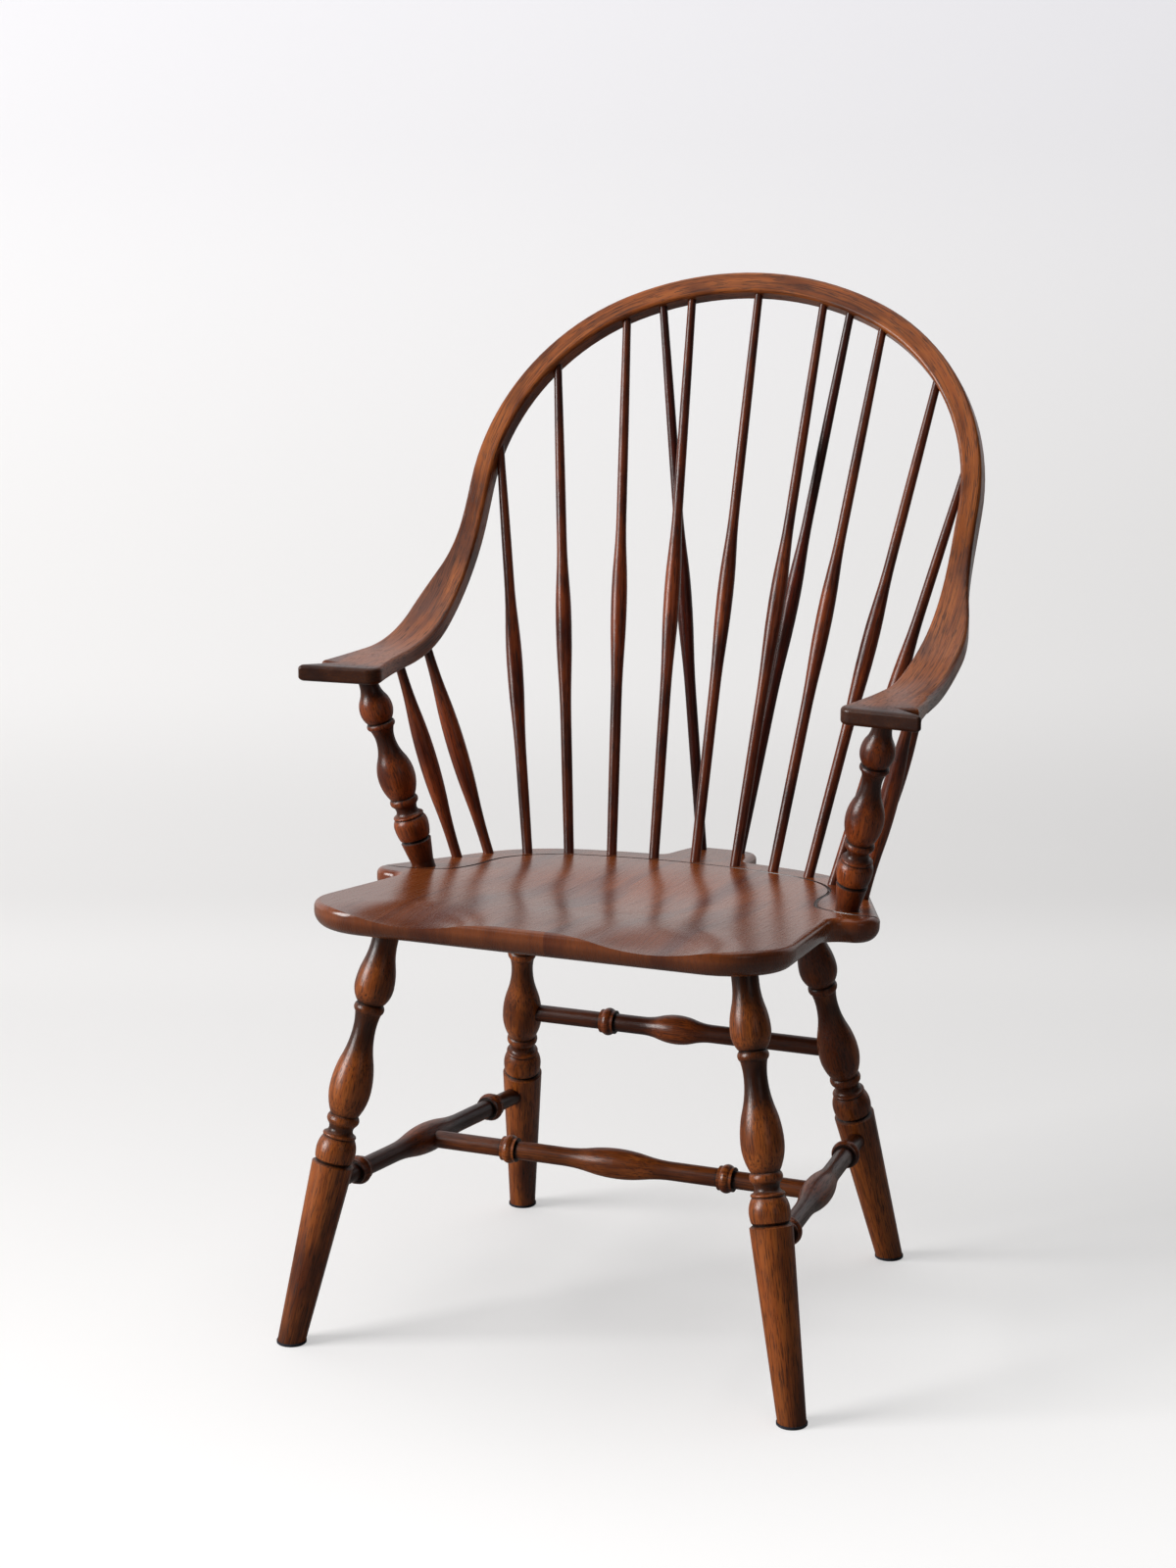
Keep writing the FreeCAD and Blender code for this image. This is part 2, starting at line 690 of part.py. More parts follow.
for family, pattern in (("post", post_pattern), ("leg", leg_pattern)):
    rises = " + ".join(rise for rise, diameter, kind in pattern)
    add_cells({f"{family}_pattern_length": f"={rises} + {family}_top_straight"})


def pattern_rows(piece, family, pattern):
    """A turned pattern laid out in proportion over the clear length between the joints of one piece."""
    add_cells({f"{piece}_stretch": f"={piece}_span / {family}_pattern_length"})
    rows = [(None, f"{family}_foot_diameter", "edge")]
    for rise, diameter, kind in pattern:
        start = f"at {piece}_foot + " if len(rows) == 1 else ""
        rows.append((f"{start}{rise} * {piece}_stretch", diameter, kind))
    rows.append((f"at {piece}_length", f"{family}_top_diameter", "edge"))
    return rows


def stretcher_rows(piece, past, first_bead, last_bead):
    """Two ringed beads with a long bulge between them."""
    near = f"{past} + {first_bead}"
    far = f"{piece}_length - {past} - {last_bead}"
    bead = "stretcher_bead_width / 2"
    ring = "stretcher_bead_width / 2 + stretcher_ring_width"
    rows = [(None, "stretcher_end_diameter", "edge")]
    for centre in (near, far):
        if centre == far:
            middle = f"(({near}) + ({far})) / 2"
            rows.append((f"at (({near}) + {middle}) / 2", "stretcher_shaft_diameter", "round"))
            rows.append((f"at {middle}", "stretcher_bulge_diameter", "round"))
            rows.append((f"at (({far}) + {middle}) / 2", "stretcher_shaft_diameter", "round"))
        outer = "stretcher_end_diameter" if centre == near else "stretcher_shaft_diameter"
        inner = "stretcher_shaft_diameter" if centre == near else "stretcher_end_diameter"
        rows.append((f"at {centre} - ({ring})", outer, "edge"))
        rows.append((f"at {centre} - ({ring})", "stretcher_ring_diameter", "edge"))
        rows.append((f"at {centre} - {bead}", "stretcher_ring_diameter", "edge"))
        rows.append((f"at {centre}", "stretcher_bead_diameter", "round"))
        rows.append((f"at {centre} + {bead}", "stretcher_ring_diameter", "edge"))
        rows.append((f"at {centre} + {ring}", "stretcher_ring_diameter", "edge"))
        rows.append((f"at {centre} + {ring}", inner, "edge"))
    rows.append((f"at {piece}_length", "stretcher_end_diameter", "edge"))
    return rows


profiles = {}
for piece in spindle_axes:
    profiles[piece] = turning(piece, spindle_rows(piece))
for piece in arm_axes:
    if piece.startswith("arm_post"):
        profiles[piece] = turning(piece, pattern_rows(piece, "post", post_pattern))
    else:
        profiles[piece] = turning(piece, short_spindle_rows(piece))
for piece in leg_axes:
    profiles[piece] = turning(piece, pattern_rows(piece, "leg", leg_pattern))
for name, side in sides:
    piece = f"stretcher_side_{name}"
    beads = ("side_stretcher_front_bead", "side_stretcher_rear_bead")
    profiles[piece] = turning(piece, stretcher_rows(piece, "stretcher_tenon", *beads))
for piece, past in (("stretcher_rear", "stretcher_tenon"), ("stretcher_medial", "medial_tenon")):
    bead = piece.split("_")[1] + "_stretcher_bead"
    profiles[piece] = turning(piece, stretcher_rows(piece, past, bead, bead))
profiles["foot_glide"] = turning("foot_glide", [
    (None, "(glide_diameter - 2 * glide_chamfer)", "edge"),
    ("glide_chamfer", "glide_diameter", "edge"),
    ("at glide_thickness", "glide_diameter", "edge"),
])

# Half outline of the seat plank, from the end of the tail round to the front edge.
seat_outline = outline("seat_outline", [
    (None, "foot_line_back + seat_rear_margin + tail_length", "edge", None),
    ("tail_half_width", "foot_line_back + seat_rear_margin + tail_length", "edge", None),
    (
        "tail_root_half_width",
        "foot_line_crown_centre + sqrt(seat_crown_radius ^ 2 - tail_root_half_width ^ 2)",
        "edge",
        "-seat_crown_radius",
    ),
    (
        "seat_crown_radius * sin(foot_line_turn)",
        "foot_line_crown_centre + seat_crown_radius * cos(foot_line_turn)",
        "edge",
        "-seat_corner_radius",
    ),
    (
        "foot_line_side_centre_x + seat_corner_radius * sin(seat_side_turn)",
        "foot_line_side_centre_y + seat_corner_radius * cos(seat_side_turn)",
        "edge",
        None,
    ),
    (
        "seat_outline_x_4 + (seat_outline_y_4 + seat_shoulder) / tan(seat_side_turn)",
        "-seat_shoulder",
        "edge",
        None,
    ),
    ("seat_waist_half_width", "-seat_shoulder", "edge", None),
    ("seat_front_half_width", "-seat_front", "edge", None),
    (None, "-seat_front", "edge", None),
])
# Half sections of the round hollows, which run out into the deck without a crease.
hollow_outlines = {}
for hollow in ("saddle", "thigh"):
    hollow_outlines[hollow] = outline(f"{hollow}_outline", [
        (None, f"-{hollow}_depth", "edge", f"{hollow}_ogee_radius"),
        (f"{hollow}_radius / 2", f"-{hollow}_depth / 2", "edge", f"-{hollow}_ogee_radius"),
        (f"{hollow}_radius", None, "edge", None),
        (f"{hollow}_radius", f"{hollow}_depth", "edge", None),
        (None, f"{hollow}_depth", "edge", None),
    ])

# Half of the arch seen square to the raked back.
bow_arch_outline = outline("bow_arch_outline", [
    (None, "bow_width / 2", "edge", "-bow_outer_crown_radius"),
    (
        "bow_outer_crown_radius * sin(bow_turn)",
        "bow_width / 2 - bow_outer_crown_radius * (1 - cos(bow_turn))",
        "edge",
        "-bow_outer_side_radius",
    ),
    ("bow_foot_half_width", "bow_outer_spring", "edge", None),
    ("bow_foot_half_width", "bow_leg_end", "edge", None),
    ("bow_half_width", "bow_leg_end", "edge", None),
    ("bow_half_width", "bow_spring", "edge", "bow_side_radius"),
    (
        "bow_crown_radius * sin(bow_turn)",
        "-bow_width / 2 - bow_crown_radius * (1 - cos(bow_turn))",
        "edge",
        "bow_crown_radius",
    ),
    (None, "-bow_width / 2", "edge", None),
])
# Side view of an arm: it leaves the arch in line with the raked back and bends forward to the level.
arm_side_outline = outline("arm_side_outline", [
    ("bow_leg_back - bow_half_back", "bow_leg_height + bow_half_height", "edge", None),
    (
        "bow_front_corner + bow_upper_tangent * sin(bow_rake)",
        "arm_top + bow_upper_tangent * cos(bow_rake)",
        "edge",
        "-bow_bend_radius",
    ),
    ("bow_front_corner - bow_upper_tangent", "arm_top", "edge", None),
    ("-2 * hand_outside_forward", "arm_top", "edge", None),
    ("-2 * hand_outside_forward", "arm_bottom", "edge", None),
    ("bow_rear_corner - bow_lower_tangent", "arm_bottom", "edge", "bow_lower_bend_radius"),
    (
        "bow_rear_corner + bow_lower_tangent * sin(bow_rake)",
        "arm_bottom + bow_lower_tangent * cos(bow_rake)",
        "edge",
        None,
    ),
    ("bow_leg_back + bow_half_back", "bow_leg_height - bow_half_height", "edge", None),
])
# An arm and its hand seen from above.
arm_plan_outline = outline("arm_plan_outline", [
    ("bow_foot_half_width", "bow_leg_back + 2 * bow_thickness", "edge", None),
    ("bow_foot_half_width", "bow_leg_back - bow_half_back", "round", None),
    ("arm_middle_outside", "arm_middle_back", "round", None),
    ("hand_shoulder_outside", "-hand_shoulder_forward", "edge", None),
    ("hand_notch_outside", "-hand_notch_forward", "edge", None),
    ("hand_outside", "-hand_outside_forward", "edge", None),
    ("hand_inside", "-hand_inside_forward", "edge", None),
    ("arm_middle_inside", "arm_inside_back", "round", None),
    ("bow_half_width", "arm_inside_bend_back", "round", None),
    ("bow_half_width", "bow_leg_back + 2 * bow_thickness", "edge", None),
])
doc.recompute()


def mirrored_pad(body, plane, name, corners, both_ways):
    """Extrude half an outline and mirror it in the middle plane of the chair."""
    sketch = add_sketch(body, plane, f"{name}_sketch", corners)
    pad = body.newObject("PartDesign::Pad", f"{name}_pad")
    pad.Profile = sketch
    pad.Midplane = both_ways
    sketch.Visibility = False
    doc.recompute()
    mirror = body.newObject("PartDesign::Mirrored", f"{name}_mirror")
    mirror.Originals = [pad]
    mirror.MirrorPlane = (sketch, ["V_Axis"])
    body.Tip = mirror
    return pad


def round_edges(body, name, radius, wanted):
    """Round the edges of a body that a test picks out."""
    doc.recompute()
    base = body.Tip
    names = []
    for index, edge in enumerate(base.Shape.Edges, start=1):
        if wanted(base.Shape, edge):
            names.append(f"Edge{index}")
    fillet = body.newObject("PartDesign::Fillet", name)
    fillet.Base = (base, names)
    fillet.setExpression("Radius", f"sizes.{radius}")
    body.Tip = fillet


def upright_at(x, y):
    """A test for the upright corner edges at a place in plan and its mirror image."""
    def test(shape, edge):
        box = edge.BoundBox
        narrow = box.XLength < 0.01 and box.YLength < 0.01
        return narrow and abs(abs(box.Center.x) - x) < 0.01 and abs(box.Center.y - y) < 0.01
    return test


def level_at(z):
    """A test for the edges that lie in one level plane."""
    def test(shape, edge):
        box = edge.BoundBox
        return abs(box.ZMin - z) < 0.01 and abs(box.ZMax - z) < 0.01
    return test


def crisp_level_edge(shape, edge):
    """A test for the crisp edges of the bow and arms, apart from the upright ones at the hand corners."""
    box = edge.BoundBox
    if box.XLength < 0.01 and box.YLength < 0.01:
        return False
    middle = edge.valueAt((edge.FirstParameter + edge.LastParameter) / 2)
    normals = []
    for face in shape.ancestorsOfType(edge, Part.Face):
        normals.append(face.normalAt(*face.Surface.parameter(middle)))
    return math.degrees(normals[0].getAngle(normals[-1])) > 30


pieces = []

# Seat: one plank with a tail for the brace spindles, rounded below and hollowed above.
seat_body = doc.addObject("PartDesign::Body", "seat_plank")
seat_pad = mirrored_pad(seat_body, "XY_Plane", "seat", seat_outline, False)
seat_pad.setExpression("Length", "sizes.seat_thickness")
seat_pad.Reversed = True
for corner, radius in (
    (1, "tail_corner_radius"),
    (2, "tail_root_radius"),
    (5, "ear_corner_radius"),
    (6, "shoulder_cove_radius"),
    (7, "front_corner_radius"),
):
    place = (size(seat_outline[corner][0]), size(seat_outline[corner][1]))
    round_edges(seat_body, f"seat_{radius}", radius, upright_at(*place))
round_edges(seat_body, "seat_bottom_fillet", "seat_bottom_round", level_at(-size("seat_thickness")))
round_edges(seat_body, "seat_top_fillet", "seat_top_round", level_at(0.0))
doc.recompute()
for name, hollow, across, forward in (
    ("saddle", "saddle", None, "saddle_centre"),
    ("thigh_right", "thigh", "sizes.thigh_offset", "seat_front"),
    ("thigh_left", "thigh", "-sizes.thigh_offset", "seat_front"),
):
    hollow_sketch = add_sketch(seat_body, "XZ_Plane", f"{name}_sketch", hollow_outlines[hollow])
    hollow_sketch.setExpression("AttachmentOffset.Base.z", f"sizes.{forward}")
    if across:
        hollow_sketch.setExpression("AttachmentOffset.Base.x", across)
    groove = seat_body.newObject("PartDesign::Groove", f"{name}_hollow")
    groove.Profile = hollow_sketch
    groove.ReferenceAxis = (hollow_sketch, ["V_Axis"])
    groove.Angle = 360.0
    hollow_sketch.Visibility = False
    doc.recompute()
seat_body.Placement = seat_placement

seat_cutters = []


def gutter_cutter(name, edges):
    """Sweep a round bit along a line drawn on the deck."""
    path = doc.addObject("Part::Feature", f"{name}_path")
    path.Shape = Part.Wire(edges)
    first = path.Shape.OrderedEdges[0]
    bit = doc.addObject("Part::Circle", f"{name}_bit")
    bit.setExpression("Radius", "sizes.gutter_width / 2")
    heading = first.tangentAt(first.FirstParameter)
    bit.Placement = FreeCAD.Placement(
        first.valueAt(first.FirstParameter), FreeCAD.Rotation(vector(0, 0, 1), heading)
    )
    groove = doc.addObject("Part::Sweep", name)
    groove.Sections = [bit]
    groove.Spine = (path, [f"Edge{index + 1}" for index in range(len(edges))])
    groove.Solid = True
    groove.Frenet = False
    doc.recompute()
    placed = doc.addObject("Part::Feature", f"{name}_cutter")
    placed.Shape = groove.Shape
    placed.Placement = seat_placement
    return placed


gutter_crown = size("foot_line_crown_radius") - size("gutter_setback")
gutter_side = size("foot_line_side_radius") - size("gutter_setback")
gutter_turn = math.radians(size("foot_line_turn"))
gutter_x = size("foot_line_half_width") - size("gutter_setback")
gutter_y = size("foot_line_side_centre_y")
flare = size("gutter_flare")
flare_length = size("gutter_flare_length")


def crown_point(angle):
    return vector(
        gutter_crown * math.sin(angle), size("foot_line_crown_centre") + gutter_crown * math.cos(angle), 0
    )


def side_point(side, angle):
    return vector(
        side * (size("foot_line_side_centre_x") + gutter_side * math.sin(angle)),
        gutter_y + gutter_side * math.cos(angle),
        0,
    )


def flare_point(side, share):
    radius = (flare * flare + flare_length * flare_length) / (2 * flare)
    angle = share * 2 * math.atan2(flare, flare_length)
    return vector(
        side * (gutter_x + radius * (1 - math.cos(angle))), gutter_y - radius * math.sin(angle), 0
    )


quarter = math.pi / 2
middle_turn = (gutter_turn + quarter) / 2
gutter_edges = [
    Part.Arc(flare_point(-1, 1), flare_point(-1, 0.5), flare_point(-1, 0)).toShape(),
    Part.Arc(side_point(-1, quarter), side_point(-1, middle_turn), side_point(-1, gutter_turn)).toShape(),
    Part.Arc(crown_point(-gutter_turn), crown_point(0), crown_point(gutter_turn)).toShape(),
    Part.Arc(side_point(1, gutter_turn), side_point(1, middle_turn), side_point(1, quarter)).toShape(),
    Part.Arc(flare_point(1, 0), flare_point(1, 0.5), flare_point(1, 1)).toShape(),
]
seat_cutters.append(gutter_cutter("gutter", gutter_edges))
ear_x = size("seat_outline_x_5")
for name, side in sides:
    cusp = flare_point(side, 1)
    low = vector((cusp.x + side * ear_x) / 2, -size("gutter_ear_forward"), 0)
    tip = vector(side * (ear_x + 2 * size("gutter_width")), cusp.y - flare, 0)
    seat_cutters.append(gutter_cutter(f"gutter_ear_{name}", [Part.Arc(cusp, low, tip).toShape()]))

# Bow and arms: a flat bent arch that runs on into two arms, each cut to its side view and its plan.
bow_arch = doc.addObject("PartDesign::Body", "bow_arch")
arch_pad = mirrored_pad(bow_arch, "XY_Plane", "bow_arch", bow_arch_outline, True)
arch_pad.setExpression("Length", "sizes.bow_thickness")
upright_turn = FreeCAD.Rotation(vector(1, 0, 0), 90 - size("bow_rake"))
bow_arch.Placement = FreeCAD.Placement(bow_crown, upright_turn)
arm_side = doc.addObject("PartDesign::Body", "arm_side")
arm_side_sketch = add_sketch(arm_side, "YZ_Plane", "arm_side_sketch", arm_side_outline)
arm_side_pad = arm_side.newObject("PartDesign::Pad", "arm_side_pad")
arm_side_pad.Profile = arm_side_sketch
arm_side_pad.setExpression("Length", "2 * sizes.hand_outside")
arm_plan = doc.addObject("PartDesign::Body", "arm_plan")
arm_plan_sketch = add_sketch(arm_plan, "XY_Plane", "arm_plan_sketch", arm_plan_outline)
arm_plan_pad = arm_plan.newObject("PartDesign::Pad", "arm_plan_pad")
arm_plan_pad.Profile = arm_plan_sketch
arm_plan_pad.setExpression("Length", "2 * sizes.bow_crown_height")
inside_corner = upright_at(size("hand_inside"), -size("hand_inside_forward"))
round_edges(arm_plan, "hand_corner_fillet", "hand_corner_radius", inside_corner)
outside_tip = upright_at(size("hand_outside"), -size("hand_outside_forward"))
round_edges(arm_plan, "hand_tip_fillet", "hand_tip_radius", outside_tip)
arm_right = doc.addObject("Part::Common", "arm_right")
arm_right.Base = arm_side
arm_right.Tool = arm_plan
arm_left = doc.addObject("Part::Mirroring", "arm_left")
arm_left.Source = arm_right
arm_left.Normal = vector(1, 0, 0)
bow_blank = doc.addObject("Part::MultiFuse", "bow_blank")
bow_blank.Shapes = [bow_arch, arm_right, arm_left]
bow_blank.Refine = True
doc.recompute()
bow_body = doc.addObject("PartDesign::Body", "bow_shaped")
bow_body.BaseFeature = bow_blank
round_edges(bow_body, "bow_edge_fillet", "bow_edge_round", crisp_level_edge)
doc.recompute()
bow_cutters = []

# Turned pieces with their sockets in the seat, the bow, the legs and the stretchers.
leg_sockets = {leg: [] for leg in leg_axes}
side_sockets = {piece: [] for piece in stretcher_axes}
turned = {}
for piece, (foot, top, outward) in spindle_axes.items():
    lower, upper = tenons[piece]
    way = unit(foot, top)
    turned[piece] = turned_body(piece, profiles[piece], foot - way * lower, way)
    free = size("spindle_straight_end")
    seat_cutters.append(socket(f"{piece}_seat_socket", foot, way * -1, free, lower, "spindle_foot_diameter"))
    bow_cutters.append(socket(f"{piece}_bow_socket", top, way, free, upper, "spindle_top_diameter"))
for piece, (foot, top) in arm_axes.items():
    lower, upper = tenons[piece]
    way = unit(foot, top)
    turned[piece] = turned_body(piece, profiles[piece], foot - way * lower, way)
    kind = "post" if piece.startswith("arm_post") else "short"
    free = size("post_foot_rise") if kind == "post" else size("spindle_straight_end") / 2
    seat_cutters.append(socket(f"{piece}_seat_socket", foot, way * -1, free, lower, f"{kind}_foot_diameter"))
    bow_cutters.append(socket(f"{piece}_arm_socket", top, way, free, upper, f"{kind}_top_diameter"))
for piece, (foot, top) in leg_axes.items():
    lower, upper = tenons[piece]
    way = unit(foot, top)
    turned[piece] = turned_body(piece, profiles[piece], foot - way * lower, way)
    seat_cutters.append(
        socket(f"{piece}_seat_socket", top, way, size("leg_foot_allowance"), upper, "leg_top_diameter")
    )
for piece, (start, end) in stretcher_axes.items():
    past = tenons[piece][0]
    way = unit(start, end)
    turned[piece] = turned_body(piece, profiles[piece], start - way * past, way)
    free = size("leg_taper_diameter")
    for joint, mouth, heading in ((0, start, way * -1), (1, end, way)):
        drill = socket(f"{piece}_socket_{joint}", mouth, heading, free, past, "stretcher_end_diameter")
        if piece == "stretcher_medial":
            side_sockets[("stretcher_side_left", "stretcher_side_right")[joint]].append(drill)
        elif piece == "stretcher_rear":
            leg_sockets[("leg_rear_left", "leg_rear_right")[joint]].append(drill)
        else:
            name = piece.split("_")[-1]
            leg_sockets[(f"leg_front_{name}", f"leg_rear_{name}")[joint]].append(drill)
doc.recompute()

pieces.append(cut("seat", seat_body, seat_cutters))
pieces.append(cut("continuous_arm_bow", bow_body, bow_cutters))
for piece in (*spindle_axes, *arm_axes, "stretcher_medial", "stretcher_rear"):
    turned[piece].Label = piece
    pieces.append(turned[piece])
for piece in ("stretcher_side_right", "stretcher_side_left"):
    pieces.append(cut(piece, turned[piece], side_sockets[piece]))

# Feet are sawn level above the glides that they stand on.
for piece, (foot, top) in leg_axes.items():
    reach = 2 * size("leg_taper_diameter")
    saw = doc.addObject("Part::Box", f"{piece}_saw")
    saw.Length = 2 * reach
    saw.Width = 2 * reach
    saw.Height = reach
    contact = foot + unit(foot, top) * (size("glide_thickness") / unit(foot, top).z)
    saw.Placement = FreeCAD.Placement(contact - vector(reach, reach, reach), FreeCAD.Rotation())
    pieces.append(cut(piece, turned[piece], [*leg_sockets[piece], saw]))
    glide_name = piece.replace("leg", "foot_glide")
    glide = turned_body(glide_name, profiles["foot_glide"], vector(contact.x, contact.y, 0), vector(0, 0, 1))
    glide.Label = glide_name
    pieces.append(glide)

doc.recompute()
for item in doc.Objects:
    if "Invalid" in item.State or "Error" in item.State:
        raise RuntimeError(f"{item.Name} is not sound: {item.State}")
os.makedirs("parts", exist_ok=True)
for item in pieces:
    if item.Shape.isNull() or not item.Shape.isValid() or len(item.Shape.Solids) != 1:
        raise RuntimeError(f"{item.Label} is not one valid solid")
    item.Shape.exportStep(f"parts/{item.Label}.step")
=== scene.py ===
import math

import bpy
import numpy as np
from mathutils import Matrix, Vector

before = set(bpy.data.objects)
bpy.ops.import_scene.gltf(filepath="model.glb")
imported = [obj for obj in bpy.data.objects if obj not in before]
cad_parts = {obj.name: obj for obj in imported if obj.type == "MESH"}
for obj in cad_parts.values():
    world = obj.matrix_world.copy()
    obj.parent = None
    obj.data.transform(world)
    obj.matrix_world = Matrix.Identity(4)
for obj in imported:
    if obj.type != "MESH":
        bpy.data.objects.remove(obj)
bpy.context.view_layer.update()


# Seat: a plank glued up from boards that run from front to back, sawn to a shield with a tail behind,
# hollowed for the sitter, stained and lacquered. Its front edge shows the end grain of the boards.
class Finish:
    """An output in a node tree: sums on it add Math nodes, and node() adds any other node."""

    def __init__(self, tree, socket=None):
        self.tree = tree
        self.socket = socket

    def node(self, kind, settings, inputs, output=0):
        made = self.tree.nodes.new(f"ShaderNode{kind}")
        for name, value in settings.items():
            setattr(made, name, value)
        for name, value in inputs.items():
            if isinstance(value, Finish):
                self.tree.links.new(value.socket, made.inputs[name])
            else:
                made.inputs[name].default_value = value
        return Finish(self.tree, made.outputs[output])

    def maths(self, operation, *values):
        return self.node("Math", {"operation": operation}, dict(enumerate(values)))

    def __add__(self, other):
        return self.maths("ADD", self, other)

    def __radd__(self, other):
        return self.maths("ADD", other, self)

    def __sub__(self, other):
        return self.maths("SUBTRACT", self, other)

    def __rsub__(self, other):
        return self.maths("SUBTRACT", other, self)

    def __mul__(self, other):
        return self.maths("MULTIPLY", self, other)

    def __rmul__(self, other):
        return self.maths("MULTIPLY", other, self)

    def axes(self):
        first = self.node("SeparateXYZ", {}, {0: self})
        return [Finish(self.tree, output) for output in first.socket.node.outputs]

    def together(self, across, through, along):
        return self.node("CombineXYZ", {}, {0: across, 1: through, 2: along})

    def rise(self, low, high):
        """A soft step from 0 to 1 as the value goes from low to high."""
        limits = {"Value": self, "From Min": low, "From Max": high}
        return self.node("MapRange", {"interpolation_type": "SMOOTHSTEP"}, limits)

    def blend(self, colour, other, share):
        return self.node("Mix", {"data_type": "RGBA"}, {0: share, 6: colour, 7: other}, 2)


def stain(red, green, blue):
    """A colour judged in steps of 0 to 255, as light on the sRGB curve."""
    light = []
    for step in (red, green, blue):
        share = step / 255
        light.append(share / 12.92 if share < 0.04045 else ((share + 0.055) / 1.055) ** 2.4)
    return (*light, 1.0)


def stained_wood(name, grain, wipe_and_shade, glaze, middle, light, seed, figure=1.0, polish=0.12):
    """Lacquered hardwood. Streaks and pores follow the grain; the dark glaze stays where no rag went, and
    the same dark colour is painted in as shade where the mask says so.
    """
    material = bpy.data.materials.new(name)
    material.use_nodes = True
    tree = material.node_tree
    shader = tree.nodes["Principled BSDF"]
    place = Finish(tree).node("TexCoord", {}, {}, "Object")
    fibre = grain(place)
    bare_unshaded = wipe_and_shade(place, fibre)

    def streaks(across, along, detail):
        """Noise drawn out along the grain: how many changes there are to the metre each way."""
        stretch = {"Vector": fibre, "Scale": (across, across, along), "Location": (seed, 2 * seed, 3 * seed)}
        stretched = fibre.node("Mapping", {}, stretch)
        return fibre.node("TexNoise", {}, {"Vector": stretched, "Scale": 1.0, "Detail": detail})

    # Noise at four widths, from clouds a few centimetres wide down to single pores.
    clouds = streaks(across=26, along=11, detail=3)
    bands = streaks(across=190, along=5, detail=3)
    lines = streaks(across=680, along=12, detail=3)
    pores = streaks(across=1000, along=60, detail=2).rise(low=0.53, high=0.66)

    # Stain: the wood between its two tones, then glaze and painted shade where the mask darkens it, and
    # glaze along the figure.
    band_tone = 0.6
    least_bare = 0.15
    cloud_glaze = 0.55
    line_glaze = 0.55
    pore_glaze = 0.70
    paler = 1 - band_tone * figure * bands.rise(low=0.66, high=0.30)
    paler = paler * clouds.rise(low=0.25, high=0.55)
    colour = place.blend(middle, light, paler)
    colour = place.blend(glaze, colour, least_bare + (1 - least_bare) * bare_unshaded)
    colour = place.blend(colour, glaze, figure * cloud_glaze * clouds.rise(low=0.56, high=0.34))
    colour = place.blend(colour, glaze, figure * line_glaze * lines.rise(low=0.46, high=0.70))
    colour = place.blend(colour, glaze, figure * pore_glaze * pores)

    # Grooves and inside corners get painted shade, darkest where they are most closed in, and with it the
    # old dark wax they keep.
    groove_reach = 0.010
    groove_shade_and_wax = 0.95
    near = {"samples": 8, "only_local": True}
    shade = place.node("AmbientOcclusion", near, {"Distance": groove_reach}, "AO")
    groove_shade = (1 - shade).rise(low=0.06, high=0.32)
    colour = place.blend(colour, stain(15, 6, 4), groove_shade_and_wax * groove_shade)

    # Lacquer: satin, duller over clouds, pores and grooves, with the pores a little open.
    smoothest = 0.25
    cloud_haze = 0.08
    pore_haze = 0.15
    groove_haze = 0.15
    rough = smoothest + figure * (cloud_haze * clouds + pore_haze * pores) + groove_haze * groove_shade
    band_rise = 0.4
    pore_depth = 0.6
    line_depth = 0.3
    relief = band_rise * bands - pore_depth * pores - line_depth * lines
    open_grain = {"Strength": 0.22 * figure, "Distance": 0.0004, "Height": relief}
    bump = place.node("Bump", {}, open_grain)
    for socket, value in (("Base Color", colour), ("Roughness", rough), ("Normal", bump)):
        tree.links.new(value.socket, shader.inputs[socket])
    shader.inputs["Specular IOR Level"].default_value = 0.30
    shader.inputs["Coat Weight"].default_value = polish
    shader.inputs["Coat Roughness"].default_value = 0.23
    return material


def dress(node, material):
    """Give a carried-over solid its finish."""
    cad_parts[node].data.materials.clear()
    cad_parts[node].data.materials.append(material)


board_seams = (-0.158, -0.015, 0.022, 0.171)
figure_apart = 3.7
figure_along = 0.9
grain_through = 0.15
grain_length = 0.4


def boards(place):
    """Long grain from front to back, in boards whose figure doesn't match across the glue lines."""
    across, back, up = place.axes()
    board = 0
    for seam in board_seams:
        board = board + across.maths("GREATER_THAN", across, seam)
    along = grain_length * back + figure_along * board
    return place.together(across + figure_apart * board, grain_through * up, along)


deck_height = 0.4387
deck_tilt = math.tan(math.radians(5.0))
deck_front_unshaded = 0.56
deck_unshaded_behind = 0.38
edge_stain_and_shade = 0.40


def shaded_deck_and_edge(place, fibre):
    """The deck darkens towards its front as painted shade, and the edge and underside are darker still:
    painted shade there, with the end grain of the front edge taking more stain.
    """
    across, back, up = place.axes()
    under = deck_height - deck_tilt * back - up
    # Painted shade: the deck is darker towards its front.
    deck_unshaded = deck_front_unshaded + deck_unshaded_behind * back.rise(low=-0.26, high=-0.04)
    # Painted shade below the top of the deck, with more stain in the end grain of the front edge.
    return deck_unshaded * (1 - edge_stain_and_shade * under.rise(low=0.009, high=0.015))


seat_glaze = stain(34, 10, 4)
seat_middle = stain(122, 53, 23)
seat_light = stain(156, 81, 37)
seat_stains = (seat_glaze, seat_middle, seat_light)
seat_wood = stained_wood("seat_wood", boards, shaded_deck_and_edge, *seat_stains, seed=1.0, figure=0.35, polish=0.5)
dress("seat", seat_wood)


# Legs: turned from straight-grained billets with a tapered foot, a ball, a vase and beads, and driven
# into sockets in the underside of the seat. The lathe grooves are painted darkest, as shade and old wax.
def long_axis(node):
    """Middle and direction of a long turned piece, pointing upwards or to the right."""
    points = np.array([vertex.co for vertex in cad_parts[node].data.vertices])
    middle = (points.min(0) + points.max(0)) / 2
    direction = np.linalg.svd(points - points.mean(0), full_matrices=False)[2][0]
    if direction[2] + 0.1 * direction[0] < 0:
        direction = -direction
    return Vector(middle), Vector(direction)


